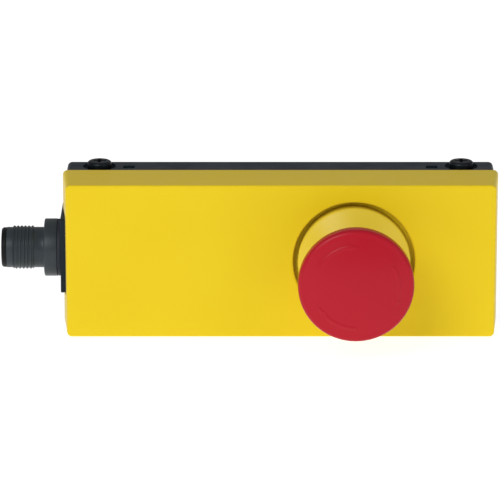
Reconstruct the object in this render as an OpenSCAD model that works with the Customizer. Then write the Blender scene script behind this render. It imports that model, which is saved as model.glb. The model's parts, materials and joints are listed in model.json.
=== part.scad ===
// Emergency stop button in a slim surface-mount housing with an M12 plug.
// Worked out lying on its back: X along the housing, Y up the wall, Z out from the wall.
// outward() then stands every sub-part up: +Z up, front face towards -Y, wall at y = 0.

/* [Housing] */
// Length of the base tray
base_l = 118; // [117:0.5:121]
// Height of the base tray
base_h = 43; // [43:0.5:46]
// Depth of the base tray, out from the wall
base_d = 10.75; // [10:0.25:11]
// Depth of the front cover, beyond the base tray
cover_d = 15.25; // [15.25:0.25:16]
// How much longer the cover is at its rear edge than the base tray
cover_flare_l = 1.8; // [0:0.2:2.4]
// How much taller the cover is at its rear edge than the base tray
cover_flare_h = 0.8; // [0:0.2:1.2]
// Wall thickness of the base tray
base_wall = 2.5; // [2.4:0.1:3]
// Wall thickness of the front cover at its front face
front_wall = 2.5; // [2.4:0.1:2.6]
// Radius of the housing's upright corners
corner_r = 1.3; // [0.8:0.1:1.5]

/* [Button] */
// Distance of the button axis from the middle of the housing
button_x = 20; // [19.5:0.5:21]
// Diameter of the mushroom cap
cap_d = 31.2; // [30:0.2:32]
// Diameter of the round recess that the collar sits in
recess_d = 33.2; // [33:0.1:34]
// Diameter of the collar's bezel
collar_d = 30.8; // [30:0.1:31]
// Diameter of the mounting sleeve below the collar
sleeve_d = 21.9; // [21.7:0.1:22]
// Travel of the button
travel = 4.5; // [3:0.5:4.5]

/* [Plug] */
// Outer diameter of the plug's thread
plug_d = 12; // [11.8:0.1:12]
// Diameter of the plug's flange
flange_d = 15.9; // [15:0.1:17]
// Height of the plug's axis above the wall
plug_w = 11.5; // [11.25:0.25:11.75]

/* [Fixings] */
// Distance between the two mounting holes in the base
mount_spacing = 86; // [86:0.5:87]
// Diameter of the mounting holes
mount_d = 4.5; // [4.2:0.1:4.8]
// Distance between the two cover screws
screw_spacing = 100; // [99:0.5:101]

/* [Hidden] */
$fn = 48;

// Colours
yellow = "gold";
black_plastic = [0.13, 0.15, 0.17];
dark_grey = [0.25, 0.26, 0.28];
light_grey = [0.78, 0.78, 0.76];
red = [0.72, 0.12, 0.17];
steel = "silver";
brass = [0.80, 0.66, 0.33];
rubber = [0.08, 0.08, 0.09];

// Depths, out from the wall
floor_t = 2;
front_w = base_d + cover_d;
cavity_w = front_w - front_wall;
recess_depth = 3;
recess_w = front_w - recess_depth;
boss_w = recess_w - 2;
seal_t = 0.6;
collar_w = recess_w + seal_t;
slack = 0.1;
sliver = 0.1;
thread_gap = 0.05;

// Edges and outline of the housing
back_chamfer = 0.5;
rear_band = 0.6;
front_edge = 0.9;
cover_taper_l = 0.8;
cavity_l = base_l - 4.4;
cavity_h = base_h - 4.2;

// Details inside the base tray
mount_boss_r = 5.5;
post_r = 2.4;
rib_half = 15;
rib_v = 14;
rib_top = 4;

// Gasket groove in the base tray's rim
groove_in = 1.1;
groove_t = 0.9;
groove_depth = 0.8;

// End plate for the plug, in a notch of the cover that is open to the rear
plate_h = 21;
plate_top = 21.1;
plate_proud = 1.4;
plate_in = 2.2;
plate_lip = 1.5;
plate_lip_half = 12.5;
plate_lip_top = cavity_w - 0.9;
plate_outer = base_l / 2 + plate_proud;
plate_inner = base_l / 2 - plate_in - plate_lip;
notch_gap = 0.7;

// Cover screws, their lugs and inserts
screw_w = 5;
head_r = 3.35;
head_proud = 1.5;
head_round = 0.8;
counterbore_r = 4.5;
counterbore_t = 1;
shank_r = 1.75;
insert_r = 2.8;
slot_half_l = 1.7;
slot_half_t = 0.45;
slot_depth = 1;
lug_half = 4.5;
lug_v0 = 14;
lug_v1 = base_h / 2 - base_wall - slack;

// Hooks on the lower side and pockets in the upper side
hook_x = 41.8;
hook_half = 2.6;
hook_w0 = 4.2;
hook_w1 = 6.4;
hook_t = 1.3;
hook_nose = 1.6;
window_gap = 0.4;
pocket_half = 1.6;
pocket_depth = 1.2;
pocket_w0 = 4.8;
pocket_w1 = 7.6;

// Circuit board
board_x0 = -37;
board_x1 = 0;
board_half = 15;
board_w = 6;
board_t = 1.6;
board_top = board_w + board_t;
board_screw_at = [[-34, -12.6], [-34, 12.6], [-3, -12.6], [-3, 12.6]];
board_screw_r = 0.8;
board_hole_r = 1.1;
way_pitch = 4;
terminal_depth = 8;
terminal_h = 8;
clamp_at = terminal_depth * 0.62;
clamp_w = board_top + 5;
plug_terminal_x = -36.4;
switch_terminal_x = -0.6;
wire_r = 0.55;
wire_w = 10.4;

// Plug, measured leftwards from the middle of the housing
plug_r = plug_d / 2;
shank_end = 50.6;
plug_seal_t = 1.1;
flange_t = 3.6;
undercut_l = 3.1;
thread_l = 5.5;
lead_l = 1.9;
tip_taper = 1.3;
seal_out = plate_outer + plug_seal_t;
flange_out = seal_out + flange_t;
thread_start = flange_out + undercut_l;
thread_end = thread_start + thread_l;
lead_end = thread_end + lead_l;
tip_end = lead_end + tip_taper;
nut_t = 3;
plug_shank_r = 5.9;
undercut_r = 5.6;
tip_r = 5.15;
socket_r = 4.35;
insert_rear = 53;
insert_face = 67.9;
key_l = 6;
pin_r = 0.5;
pin_circle_r = 2.75;
pin_tip = 75.2;
pin_rear = 49.6;
pin_at = concat([[0, 0]], [for (a = [45:90:315]) pin_circle_r * [cos(a), sin(a)]]);

// Collar and stem
sleeve_r = sleeve_d / 2;
sleeve_end = 16.2;
ledge_r = 5.3;
ledge_w = 19.8;
bore_r = 8.7;
guide_w = 37;
guide_r = 6.55;
seal_seat_w = 41.2;
seal_seat_r = 8.2;
collar_top = 43.2;
bezel_w = front_w + 1.3;
cone_r = 10.6;
cone_top = bezel_w + 2.9;
neck_r = 10;
neck_w = cone_top + 0.7;
key_half = 1.5;
key_r = 11.9;
nut_r = 14;
nut_h = 3;
latch_w = 17.4;
latch_hole_r = 0.65;
latch_pin_r = 0.6;
latch_pin_l = 4.8;
groove_floor_r = 10;
stem_r = 5;
waist_r = 4;
piston_w = 34.4;
piston_r = 8.64;
upper_r = 6.5;
spindle_r = 4;
clip_seat_r = 3.4;
clip_r = 4.8;

// Mushroom cap, clear of the collar by more than the travel
cap_r = cap_d / 2;
cap_roof = collar_top + travel + 0.5;
cap_rear = cap_roof - 1.9;
cap_shoulder = cap_roof + 2.1;
cap_top = cap_roof + 4.3;
cap_hollow_r = 12.6;
cap_edge_r = 1.3;
spring_in = 7;
spring_out = 11.2;
spring_depth = 1.1;
stem_top = cap_roof - slack;
spindle_top = cap_roof + 2.5;
clip_w0 = cap_roof + 1.2;
clip_w1 = clip_w0 + 0.6;
clip_pocket_w0 = cap_roof + 1;
clip_pocket_w1 = spindle_top + 0.2;
clip_pocket_r = 5.1;

// Contact blocks
block_offset = 10;
block_half = 4.8;
block_v = 13.2;
block_top = 15;
channel_v = 3.6;
block_floor = 3.2;
screw_v = 11;
contact_screw_r = 1.25;
contact_head_r = 2.1;
bridge_w = 10.2;
bridge_t = 0.8;
pad_v = 6.2;
pad_r = 1.4;
pad_t = 0.6;
strip_w = 12.2;
strip_t = 0.8;
pusher_w = bridge_w + bridge_t;
pusher_t = 3.5;
stem_foot = pusher_w + pusher_t;
contact_gap = 0.02;
strip_half = 2;
strip_v0 = 4.4;
strip_v1 = 12.8;
pusher_half = 16;
pusher_neck = 2;

// Stands a sub-part up from lying on its back
module outward() { rotate([90, 0, 0]) children(); }

// Moves to the button's axis
module at_button() { translate([button_x, 0, 0]) children(); }

// Turns +Z to the left, on the plug's axis
module leftward() { translate([0, 0, plug_w]) rotate([0, -90, 0]) children(); }

// Turns +Z upwards along the housing's height
module upward(x, w) { translate([x, 0, w]) rotate([-90, 0, 0]) children(); }

module box(x0, x1, v0, v1, w0, w1) {
  translate([x0, v0, w0]) cube([x1 - x0, v1 - v0, w1 - w0]);
}

module disc(r, w0, w1) { translate([0, 0, w0]) cylinder(h = w1 - w0, r = r); }

module ring(r_out, r_in, w0, w1) {
  difference() {
    disc(r_out, w0, w1);
    disc(r_in, w0 - 1, w1 + 1);
  }
}

module round_rect(l, h, r) {
  square([l - 2 * r, h], center = true);
  square([l, h - 2 * r], center = true);
  for (x = [-1, 1], y = [-1, 1])
    translate([x * (l / 2 - r), y * (h / 2 - r)]) circle(r = r);
}

module slab(l, h, w0, w1, r = corner_r) {
  translate([0, 0, w0]) linear_extrude(w1 - w0) round_rect(l, h, r);
}

module pair_x(half) { for (s = [-1, 1]) translate([s * half, 0, 0]) children(); }

// Points of an arc in n steps
function arc(cx, cy, r, a0, a1, n) =
  [for (i = [0:n]) let (a = a0 + (a1 - a0) * i / n) [cx + r * cos(a), cy + r * sin(a)]];

// Smooth curve through hand-chosen points
function catmull(a, b, c, d, t) =
  0.5 * (2 * b + (c - a) * t + (2 * a - 5 * b + 4 * c - d) * t * t
  + (3 * b - 3 * c + d - a) * t * t * t);
function curve(pts, steps) = let (n = len(pts)) concat(
  [for (i = [0:n - 2], s = [0:steps - 1])
    catmull(pts[max(i - 1, 0)], pts[i], pts[i + 1], pts[min(i + 2, n - 1)], s / steps)],
  [pts[n - 1]]);

// Tube along a list of points; the frame is carried along so that it never twists
function unit(v) = v / norm(v);
function tangents(p) = let (n = len(p)) [for (i = [0:n - 1])
  unit(p[min(i + 1, n - 1)] - p[max(i - 1, 0)])];
function normals(t) = [for (i = 0, u = unit(cross(t[0], [0.31, 0.17, 0.93])); i < len(t);
  i = i + 1, u = i < len(t) ? unit(u - (u * t[i]) * t[i]) : u) u];

module tube(path, r, sides = 8) {
  t = tangents(path);
  u = normals(t);
  n = len(path);
  points = [for (i = [0:n - 1], k = [0:sides - 1])
    let (a = 360 * k / sides) path[i] + r * (cos(a) * u[i] + sin(a) * cross(t[i], u[i]))];
  faces = concat(
    [[for (k = [0:sides - 1]) k]],
    [for (i = [0:n - 2], k = [0:sides - 1]) let (j = (k + 1) % sides)
      [i * sides + k, (i + 1) * sides + k, (i + 1) * sides + j, i * sides + j]],
    [[for (k = [sides - 1:-1:0]) (n - 1) * sides + k]]);
  polyhedron(points, faces);
}

// Compression spring with closed ends, its wire centres between w0 and w1
module coil_spring(mean_r, wire_r, w0, w1, turns, steps, sides) {
  count = turns * steps;
  tube([for (i = [0:count])
    let (a = 360 * i / steps, f = i / count, eased = f - sin(360 * f) / 9)
    [mean_r * cos(a), mean_r * sin(a), w0 + (w1 - w0) * eased]], wire_r, sides);
}

// ---- Housing ----

module mount_boss() { disc(mount_boss_r, floor_t / 2, floor_t + 1); }

module board_posts() {
  for (p = board_screw_at) translate([p.x, p.y, 0])
    ring(post_r, board_screw_r, floor_t / 2, board_w);
}

module end_plate() {
  lip_x = -base_l / 2 + plate_in;
  box(-plate_outer, lip_x, -plate_h / 2, plate_h / 2, floor_t, plate_top);
  box(lip_x + sliver, -plate_inner, -plate_lip_half, plate_lip_half, floor_t / 2, plate_lip_top);
  box(-base_l / 2 + 1, lip_x + plate_lip / 2, -plate_h / 2, plate_h / 2, floor_t / 2, plate_top);
}

module base_tray() {
  color(black_plastic) outward() difference() {
    union() {
      difference() {
        hull() {
          slab(base_l - 2 * back_chamfer, base_h - 2 * back_chamfer, 0, sliver, $fn = 32);
          slab(base_l, base_h, back_chamfer, base_d, $fn = 32);
        }
        slab(base_l - 2 * base_wall, base_h - 2 * base_wall, floor_t, base_d + 1);
      }
      pair_x(mount_spacing / 2) mount_boss();
      board_posts();
      end_plate();
      // low ribs that locate the contact blocks
      at_button() for (v = [-1, 1] * rib_v)
        box(-rib_half, rib_half, v - 0.5, v + 0.5, floor_t / 2, rib_top);
    }
    gasket_loop(1);
    pair_x(mount_spacing / 2) disc(mount_d / 2, -1, 6);
    leftward() disc(plug_shank_r + slack, plate_inner - 10, plate_outer + 10);
    for (x = [-1, 1] * screw_spacing / 2) {
      upward(x, screw_w) disc(shank_r + 0.2, lug_v0, base_h);
      upward(x, screw_w) disc(counterbore_r, base_h / 2 - counterbore_t, base_h);
    }
    pair_x(hook_x) {
      box(-hook_half - window_gap, hook_half + window_gap, -base_h, -base_h / 2 + base_wall + sliver,
        hook_w0 - window_gap / 2, hook_w1 + window_gap);
      box(-pocket_half, pocket_half, base_h / 2 - pocket_depth, base_h, pocket_w0, pocket_w1);
    }
  }
}

module cover_shape() {
  hull() {
    slab(base_l + cover_flare_l, base_h + cover_flare_h, base_d, base_d + rear_band, $fn = 32);
    slab(base_l - cover_taper_l, base_h, front_w - front_edge, front_w - front_edge + sliver, $fn = 32);
    slab(base_l - cover_taper_l - 1.4, base_h - 1.4, front_w - sliver, front_w, $fn = 32);
  }
}

module cover_lug() {
  roof = cavity_w + 0.5;
  box(-lug_half, lug_half, lug_v0, lug_v1, floor_t + 0.4, roof);
  box(-lug_half, lug_half, lug_v1 - 1, base_h / 2 - 1, base_d + 2 * slack, roof);
}

module cover_hook() {
  inner = base_h / 2 - base_wall - slack;
  roof = cavity_w + 0.5;
  box(-hook_half, hook_half, -inner, -inner + hook_t, hook_w0, roof);
  box(-hook_half, hook_half, -base_h / 2 + 1, -inner + hook_t, base_d + 2 * slack, roof);
  box(-hook_half, hook_half, -inner - hook_nose, -inner + hook_t / 2, hook_w0, hook_w1);
}

module front_cover() {
  notch_half = plate_h / 2 + notch_gap;
  color(yellow) outward() difference() {
    union() {
      difference() {
        cover_shape();
        slab(cavity_l, cavity_h, base_d - 1, cavity_w);
      }
      at_button() disc(recess_d / 2 + 1.25, boss_w, cavity_w + 0.5);
      pair_x(screw_spacing / 2) cover_lug();
      pair_x(hook_x) cover_hook();
    }
    at_button() {
      disc(sleeve_d / 2 + 0.2, boss_w - 1, front_w + 1);
      disc(recess_d / 2, recess_w, front_w + 1);
      box(-key_half - 0.2, key_half + 0.2, sleeve_d / 2 - 2, key_r + 0.2, boss_w - 1, recess_w + 0.5);
    }
    box(-base_l, -base_l / 2 + 4, -notch_half, notch_half, base_d - 2, plate_top + notch_gap);
    for (x = [-1, 1] * screw_spacing / 2) upward(x, screw_w) disc(insert_r, lug_v0 - 1, base_h);
  }
}

// Flat ring in the base tray's rim, broken at the end plate, with its top this far above the rim
module gasket_loop(proud) {
  inner = groove_in + groove_t;
  difference() {
    slab(base_l - 2 * groove_in, base_h - 2 * groove_in, base_d - groove_depth, base_d + proud);
    slab(base_l - 2 * inner, base_h - 2 * inner, base_d - 2, base_d + 2);
    box(-base_l, -base_l / 2 + 9, -plate_h / 2, plate_h / 2, base_d - 2, base_d + 2);
  }
}

module cover_gasket() {
  notch_half = plate_h / 2 + notch_gap;
  x0 = -base_l / 2 + groove_in;
  color(rubber) outward() {
    gasket_loop(0);
    difference() {
      box(x0, x0 + groove_t, -notch_half, notch_half, base_d - groove_depth,
        plate_top + notch_gap);
      box(x0 - 1, x0 + groove_t + 1, -plate_h / 2, plate_h / 2, 0, plate_top);
    }
  }
}

module cover_screw() {
  seat = base_h / 2 - counterbore_t;
  top = base_h / 2 + head_proud;
  difference() {
    rotate_extrude() polygon(concat(
      [[0, lug_v0 + 0.6], [shank_r, lug_v0 + 0.6], [shank_r, seat], [head_r, seat]],
      arc(head_r - head_round, top - head_round, head_round, 0, 90, 6), [[0, top]]));
    for (a = [0, 90]) rotate([0, 0, a])
      box(-slot_half_l, slot_half_l, -slot_half_t, slot_half_t, top - slot_depth, top + 2);
  }
}

module cover_screws() {
  color(dark_grey) outward() for (x = [-1, 1] * screw_spacing / 2)
    upward(x, screw_w) cover_screw();
}

module screw_inserts() {
  color(brass) outward() for (x = [-1, 1] * screw_spacing / 2)
    upward(x, screw_w) ring(insert_r, shank_r, lug_v0 + 0.3, lug_v1);
}

// ---- Plug ----

module connector_shell() {
  color(dark_grey) outward() leftward() rotate_extrude() polygon([
    [socket_r, shank_end], [plug_shank_r, shank_end], [plug_shank_r, seal_out],
    [flange_d / 2, seal_out], [flange_d / 2, flange_out - 0.3],
    [flange_d / 2 - 0.3, flange_out], [undercut_r, flange_out],
    [undercut_r, thread_start], [plug_r, thread_start], [plug_r, thread_end],
    [undercut_r, thread_end], [undercut_r, lead_end], [tip_r, tip_end], [socket_r, tip_end]
  ]);
}

module connector_insert() {
  color(black_plastic) outward() leftward() {
    difference() {
      disc(socket_r, insert_rear, insert_face);
      for (p = pin_at) translate([p.x, p.y, 0]) disc(pin_r, pin_rear, pin_tip);
    }
    // coding key along the socket wall
    rotate([0, 0, 90])
      box(socket_r - 0.65, socket_r - 0.15, -0.45, 0.45, insert_face - 0.5, insert_face + key_l);
  }
}

module connector_pins() {
  color(brass) outward() leftward() for (p = pin_at) translate([p.x, p.y, 0]) {
    disc(pin_r, pin_rear, pin_tip);
    translate([0, 0, pin_tip]) sphere(r = pin_r);
  }
}

module connector_seal() {
  color(rubber) outward() leftward() ring(flange_d / 2 - 0.05, plug_shank_r + slack, plate_outer, seal_out);
}

module connector_nut() {
  across_flats = 15;
  color(steel) outward() leftward() difference() {
    translate([0, 0, plate_inner - nut_t])
      cylinder(h = nut_t, r = across_flats / 2 / cos(30), $fn = 6);
    disc(plug_shank_r + thread_gap, plate_inner - 2 * nut_t, plate_inner + 1);
  }
}

// A lead from one contact pin's tail to its way of the terminal block
module plug_lead(i, way, lift) {
  p = pin_at[i];
  v = way_v(way, 5);
  tail = [-pin_rear + thread_gap, p.y, plug_w + p.x];
  tube(concat([tail], curve([tail + [0.8, 0, 0], [-47.2, p.y * 1.1, plug_w + p.x * 1.1],
    [-45, v * 0.6, 12.4 + lift], [-41.5, v, 12.2 + lift], [-38.2, v, wire_w],
    [-36.2, v, wire_w]], 4)), wire_r);
}

module lead_brown() { color("saddlebrown") outward() plug_lead(3, 0, 1.2); }
module lead_white() { color("white") outward() plug_lead(2, 3, 1.0); }
module lead_blue() { color("royalblue") outward() plug_lead(1, 4, 0.4); }
module lead_black() { color([0.1, 0.1, 0.1]) outward() plug_lead(4, 1, 2.6); }
module lead_grey() { color("grey") outward() plug_lead(0, 2, 0); }

// ---- Circuit board ----

module circuit_board() {
  color([0.05, 0.35, 0.20]) outward() difference() {
    box(board_x0, board_x1, -board_half, board_half, board_w, board_top);
    for (p = board_screw_at) translate([p.x, p.y, 0]) disc(board_hole_r, board_w - 1, board_top + 1);
  }
}

module board_screws() {
  color(steel) outward() for (p = board_screw_at) translate([p.x, p.y, 0]) difference() {
    union() {
      disc(board_screw_r, board_w - 3, board_top + 0.2);
      disc(1.9, board_top, board_top + 1.4);
    }
    box(-1.5, 1.5, -0.25, 0.25, board_top + 0.8, board_top + 2);
  }
}

function way_v(way, ways) = (way - (ways - 1) / 2) * way_pitch;

// Terminal block with its wire entries on the side that faces -X
module terminal_body(ways) {
  half = ways * way_pitch / 2 + 0.6;
  difference() {
    box(0, terminal_depth, -half, half, board_top, board_top + terminal_h);
    for (i = [0:ways - 1]) translate([0, way_v(i, ways), 0]) {
      translate([-1, 0, wire_w]) rotate([0, 90, 0]) cylinder(h = 4.2, r = 1.2);
      translate([clamp_at, 0, 0]) disc(1.5, clamp_w, board_top + terminal_h + 1);
    }
  }
}

module plug_terminals() {
  color("green") outward() translate([plug_terminal_x, 0, 0]) terminal_body(5);
}

module switch_terminals() {
  color("green") outward() translate([switch_terminal_x, 0, 0]) mirror([1, 0, 0]) terminal_body(4);
}

module clamp_screws(x, ways) {
  for (i = [0:ways - 1]) translate([x, way_v(i, ways), clamp_w]) difference() {
    disc(1.4, 0, 1.6);
    box(-2, 2, -0.2, 0.2, 1.1, 2);
  }
}

module terminal_clamps() {
  color(steel) outward() {
    clamp_screws(plug_terminal_x + clamp_at, 5);
    clamp_screws(switch_terminal_x - clamp_at, 4);
  }
}

module board_components() {
  color([0.15, 0.15, 0.16]) outward() {
    box(-24, -18, -4.5, 4.5, board_top, board_top + 1.8);
    translate([-14, 8.5, 0]) disc(3.2, board_top, board_top + 8);
    translate([-22, 9.5, 0]) disc(2.6, board_top, board_top + 6);
    box(-15.5, -12.5, -11, -6, board_top, board_top + 2.4);
    for (v = [-11.5, -9, -6.5]) box(-25, -20, v - 0.7, v + 0.7, board_top, board_top + 1);
    for (v = [-2.5, 0, 2.5]) box(-14.5, -12.5, v - 0.65, v + 0.65, board_top, board_top + 0.8);
  }
}

// ---- Button head ----

module head_collar() {
  color(yellow) outward() at_button() difference() {
    union() {
      rotate_extrude($fn = 96) polygon([
        [ledge_r, sleeve_end], [sleeve_r, sleeve_end], [sleeve_r, latch_w - 0.5],
        [groove_floor_r, latch_w - 0.5], [groove_floor_r, latch_w + 0.5], [sleeve_r, latch_w + 0.5],
        [sleeve_r, collar_w], [collar_d / 2, collar_w], [collar_d / 2, bezel_w - 0.4],
        [collar_d / 2 - 0.4, bezel_w], [cone_r, cone_top], [neck_r, neck_w],
        [neck_r, collar_top - 0.4], [neck_r - 0.4, collar_top],
        [seal_seat_r, collar_top], [seal_seat_r, seal_seat_w],
        [guide_r, seal_seat_w], [guide_r, guide_w], [bore_r, guide_w], [bore_r, ledge_w],
        [ledge_r, ledge_w]
      ]);
      box(-key_half, key_half, groove_floor_r, key_r, boss_w + slack, recess_w);
    }
    for (a = [0, 180]) rotate([0, 0, a]) translate([stem_r - 1, 0, latch_w]) rotate([0, 90, 0])
      cylinder(h = sleeve_r, r = latch_hole_r);
  }
}

module head_seal() {
  color(rubber) outward() at_button() ring(collar_d / 2 - slack, sleeve_r + 1.2, recess_w, collar_w);
}

module lock_nut() {
  color(dark_grey) outward() at_button() difference() {
    disc(nut_r, boss_w - nut_h, boss_w);
    disc(sleeve_r + thread_gap, sleeve_end, front_w);
    for (a = [0:60:300]) rotate([0, 0, a]) box(nut_r - 1.2, nut_r + 1, -1.6, 1.6, sleeve_end, front_w);
  }
}

module stem_seal() {
  color(rubber) outward() at_button() ring(seal_seat_r, upper_r + 0.15, seal_seat_w, collar_top - 0.3);
}

// ---- Moving head ----

module mushroom_cap() {
  edge_w = cap_shoulder - cap_edge_r;
  dome_a = cap_r - cap_edge_r;
  dome_rise = cap_top - cap_shoulder;
  dome_r = (dome_a * dome_a + dome_rise * dome_rise) / (2 * dome_rise);
  dome_half = asin(dome_a / dome_r);
  color(red) outward() at_button() rotate_extrude($fn = 96) polygon(concat(
    [[cap_hollow_r, cap_rear], [cap_r - 0.5, cap_rear], [cap_r, cap_rear + 0.5]],
    arc(cap_r - cap_edge_r, edge_w, cap_edge_r, 0, 90, 6),
    [for (i = [1:8]) let (a = dome_half * (1 - i / 8))
      [dome_r * sin(a), cap_top - dome_r + dome_r * cos(a)]],
    [[0, clip_pocket_w1], [clip_pocket_r, clip_pocket_w1], [clip_pocket_r, clip_pocket_w0],
      [spindle_r + 0.06, clip_pocket_w0], [spindle_r + 0.06, cap_roof], [spring_in, cap_roof],
      [spring_in, cap_roof + spring_depth], [spring_out, cap_roof + spring_depth],
      [spring_out, cap_roof], [cap_hollow_r, cap_roof]]
  ));
}

module twist_spring() {
  turns = 2.25;
  steps = 54;
  r_start = 7.6;
  r_grow = 2.9;
  half_t = 0.2;
  spiral = function(i, side) let (a = 360 * turns * i / steps, r = r_start + r_grow * i / steps + side)
    [r * cos(a), r * sin(a)];
  color(steel) outward() at_button() translate([0, 0, cap_roof + 0.15]) linear_extrude(0.8)
    polygon(concat([for (i = [0:steps]) spiral(i, half_t)], [for (i = [steps:-1:0]) spiral(i, -half_t)]));
}

module stem() {
  color(dark_grey) outward() at_button() rotate_extrude($fn = 96) polygon([
    [0, pusher_w], [pusher_neck, pusher_w], [pusher_neck, stem_foot], [stem_r, stem_foot],
    [stem_r, latch_w - latch_pin_r], [waist_r, latch_w - latch_pin_r + 5],
    [waist_r, 25.5], [stem_r, 27], [stem_r, piston_w], [piston_r, piston_w],
    [piston_r, guide_w - slack], [upper_r, guide_w - slack], [upper_r, stem_top],
    [spindle_r, stem_top], [spindle_r, clip_w0], [clip_seat_r, clip_w0], [clip_seat_r, clip_w1],
    [spindle_r, clip_w1], [spindle_r - 0.4, spindle_top], [0, spindle_top]
  ]);
}

module cap_clip() {
  color(steel) outward() at_button() difference() {
    ring(clip_r, clip_seat_r, clip_w0, clip_w1);
    box(0, clip_r + 1, -1.2, 1.2, cap_roof, cap_top);
  }
}

module return_spring() {
  color(steel) outward() at_button()
    coil_spring(7, 0.5, ledge_w + 0.5, piston_w - 0.5, 6, 20, 6);
}

// side is -1 for the left pin and 1 for the right one
module latch_pin(side) {
  color(steel) outward() at_button() translate([0, 0, latch_w]) rotate([0, side * 90, 0])
    translate([0, 0, stem_r + 0.1]) cylinder(h = latch_pin_l, r = latch_pin_r);
}

module latch_pin_left() { latch_pin(-1); }
module latch_pin_right() { latch_pin(1); }

module latch_ring() {
  color(steel) outward() at_button() difference() {
    ring(sleeve_r - 0.15, groove_floor_r + thread_gap, latch_w - 0.4, latch_w + 0.4);
    box(-1.2, 1.2, ledge_r, sleeve_r + 1, sleeve_end, ledge_w);
  }
}

// ---- Contacts ----

module contact_pusher() {
  color(light_grey) outward() at_button() difference() {
    box(-pusher_half, pusher_half, -3, 3, pusher_w, stem_foot);
    disc(pusher_neck, pusher_w - 1, stem_foot + 1);
    for (x = [-1, 1] * block_offset) box(x - 3.2, x + 3.2, -1.2, 1.2, pusher_w + 1.2, stem_foot + 1);
  }
}

module contact_tower() {
  difference() {
    box(-block_half, block_half, channel_v, block_v, floor_t, block_top);
    box(-strip_half - 0.4, strip_half + 0.4, channel_v - 1, 8.5, block_floor, strip_w);
    box(-strip_half, strip_half, strip_v0, block_v + 1, strip_w, strip_w + strip_t);
    box(-3.4, 3.4, screw_v - contact_head_r - 0.2, block_v + 1, strip_w + strip_t, block_top + 1);
    translate([0, screw_v, 0]) disc(contact_screw_r + thread_gap, 8, block_top + 1);
  }
}

// side is -1 for the left block and 1 for the right one
module contact_block(side) {
  color(light_grey) outward() translate([button_x + side * block_offset, 0, 0]) {
    box(-block_half, block_half, -block_v, block_v, floor_t, block_floor);
    contact_tower();
    mirror([0, 1, 0]) contact_tower();
  }
}

module contact_block_left() { contact_block(-1); }
module contact_block_right() { contact_block(1); }

module contact_strip() {
  difference() {
    box(-strip_half, strip_half, strip_v0, strip_v1, strip_w, strip_w + strip_t);
    translate([0, screw_v, 0]) disc(contact_screw_r + thread_gap, strip_w - 1, block_top + 1);
  }
  translate([0, pad_v, 0]) disc(pad_r, strip_w - pad_t + contact_gap, strip_w);
}

module at_blocks() {
  at_button() for (x = [-1, 1] * block_offset, m = [0, 1])
    translate([x, 0, 0]) mirror([0, m, 0]) children();
}

module fixed_contacts() { color(brass) outward() at_blocks() contact_strip(); }

module contact_screws() {
  head_w = strip_w + strip_t;
  color(steel) outward() at_blocks() translate([0, screw_v, 0]) difference() {
    union() {
      disc(contact_screw_r, 8.5, head_w + 0.5);
      disc(contact_head_r, head_w, head_w + 1.6);
    }
    box(-3, 3, -0.3, 0.3, head_w + 1, head_w + 2);
  }
}

module contact_bridge(side) {
  color(brass) outward() translate([button_x + side * block_offset, 0, 0]) {
    box(-strip_half, strip_half, -pad_v - 1.8, pad_v + 1.8, bridge_w, bridge_w + bridge_t);
    for (v = [-pad_v, pad_v]) translate([0, v, 0])
      disc(pad_r, bridge_w + bridge_t, strip_w - pad_t);
  }
}

module contact_bridge_left() { contact_bridge(-1); }
module contact_bridge_right() { contact_bridge(1); }

module contact_spring(side) {
  color(steel) outward() translate([button_x + side * block_offset, 0, 0])
    coil_spring(1.6, 0.2, block_floor + 0.2, bridge_w - 0.2, 5, 14, 6);
}

module contact_spring_left() { contact_spring(-1); }
module contact_spring_right() { contact_spring(1); }

// A wire from the switch terminals, past the points between, to the outer end of a contact strip.
// side is -1 for the left block and 1 for the right one, up is -1 for its lower strip and 1 for the upper.
module switch_wire(way, side, up, between) {
  v = way_v(way, 4);
  x = button_x + side * block_offset;
  tube(curve(concat([[-0.8, v, wire_w], [1, v, wire_w]],
    [for (p = between) [p.x, up * p.y, p.z]],
    [[x - 0.6, up * 15.8, 14.2], [x, up * 14.2, 13.7], [x, up * 13.3, 13.7]]), 4), wire_r);
}

// The red wires rise at once and pass over the green ones, which stay low until they are past the block
over_block = [[1.9, 7, 12.6], [2.2, 10, 15.6], [3.4, 15.6, 16.6], [14, 16.8, 16.4], [26, 16.6, 15.8]];
round_block = [[3.2, 3.6, 9.6], [4, 8, 9.4], [4, 12, 10.6], [4.4, 15.4, 13], [6.8, 16.6, 13.8]];

module switch_wires_red() {
  color([0.8, 0.1, 0.1]) outward() {
    switch_wire(0, 1, -1, over_block);
    switch_wire(3, 1, 1, over_block);
  }
}

module switch_wires_green() {
  color([0.1, 0.6, 0.2]) outward() {
    switch_wire(1, -1, -1, round_block);
    switch_wire(2, -1, 1, round_block);
  }
}

base_tray();
front_cover();
cover_gasket();
cover_screws();
screw_inserts();
connector_shell();
connector_insert();
connector_pins();
connector_seal();
connector_nut();
lead_brown();
lead_white();
lead_blue();
lead_black();
lead_grey();
circuit_board();
board_screws();
plug_terminals();
switch_terminals();
terminal_clamps();
board_components();
head_collar();
head_seal();
lock_nut();
stem_seal();
mushroom_cap();
cap_clip();
twist_spring();
stem();
contact_pusher();
return_spring();
latch_pin_left();
latch_pin_right();
latch_ring();
contact_block_left();
contact_block_right();
fixed_contacts();
contact_screws();
contact_bridge_left();
contact_bridge_right();
contact_spring_left();
contact_spring_right();
switch_wires_red();
switch_wires_green();
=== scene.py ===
"""Looks of the emergency stop button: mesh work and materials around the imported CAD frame."""

import json
from math import cos, pi, radians, sin, sqrt, tan, tau

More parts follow.
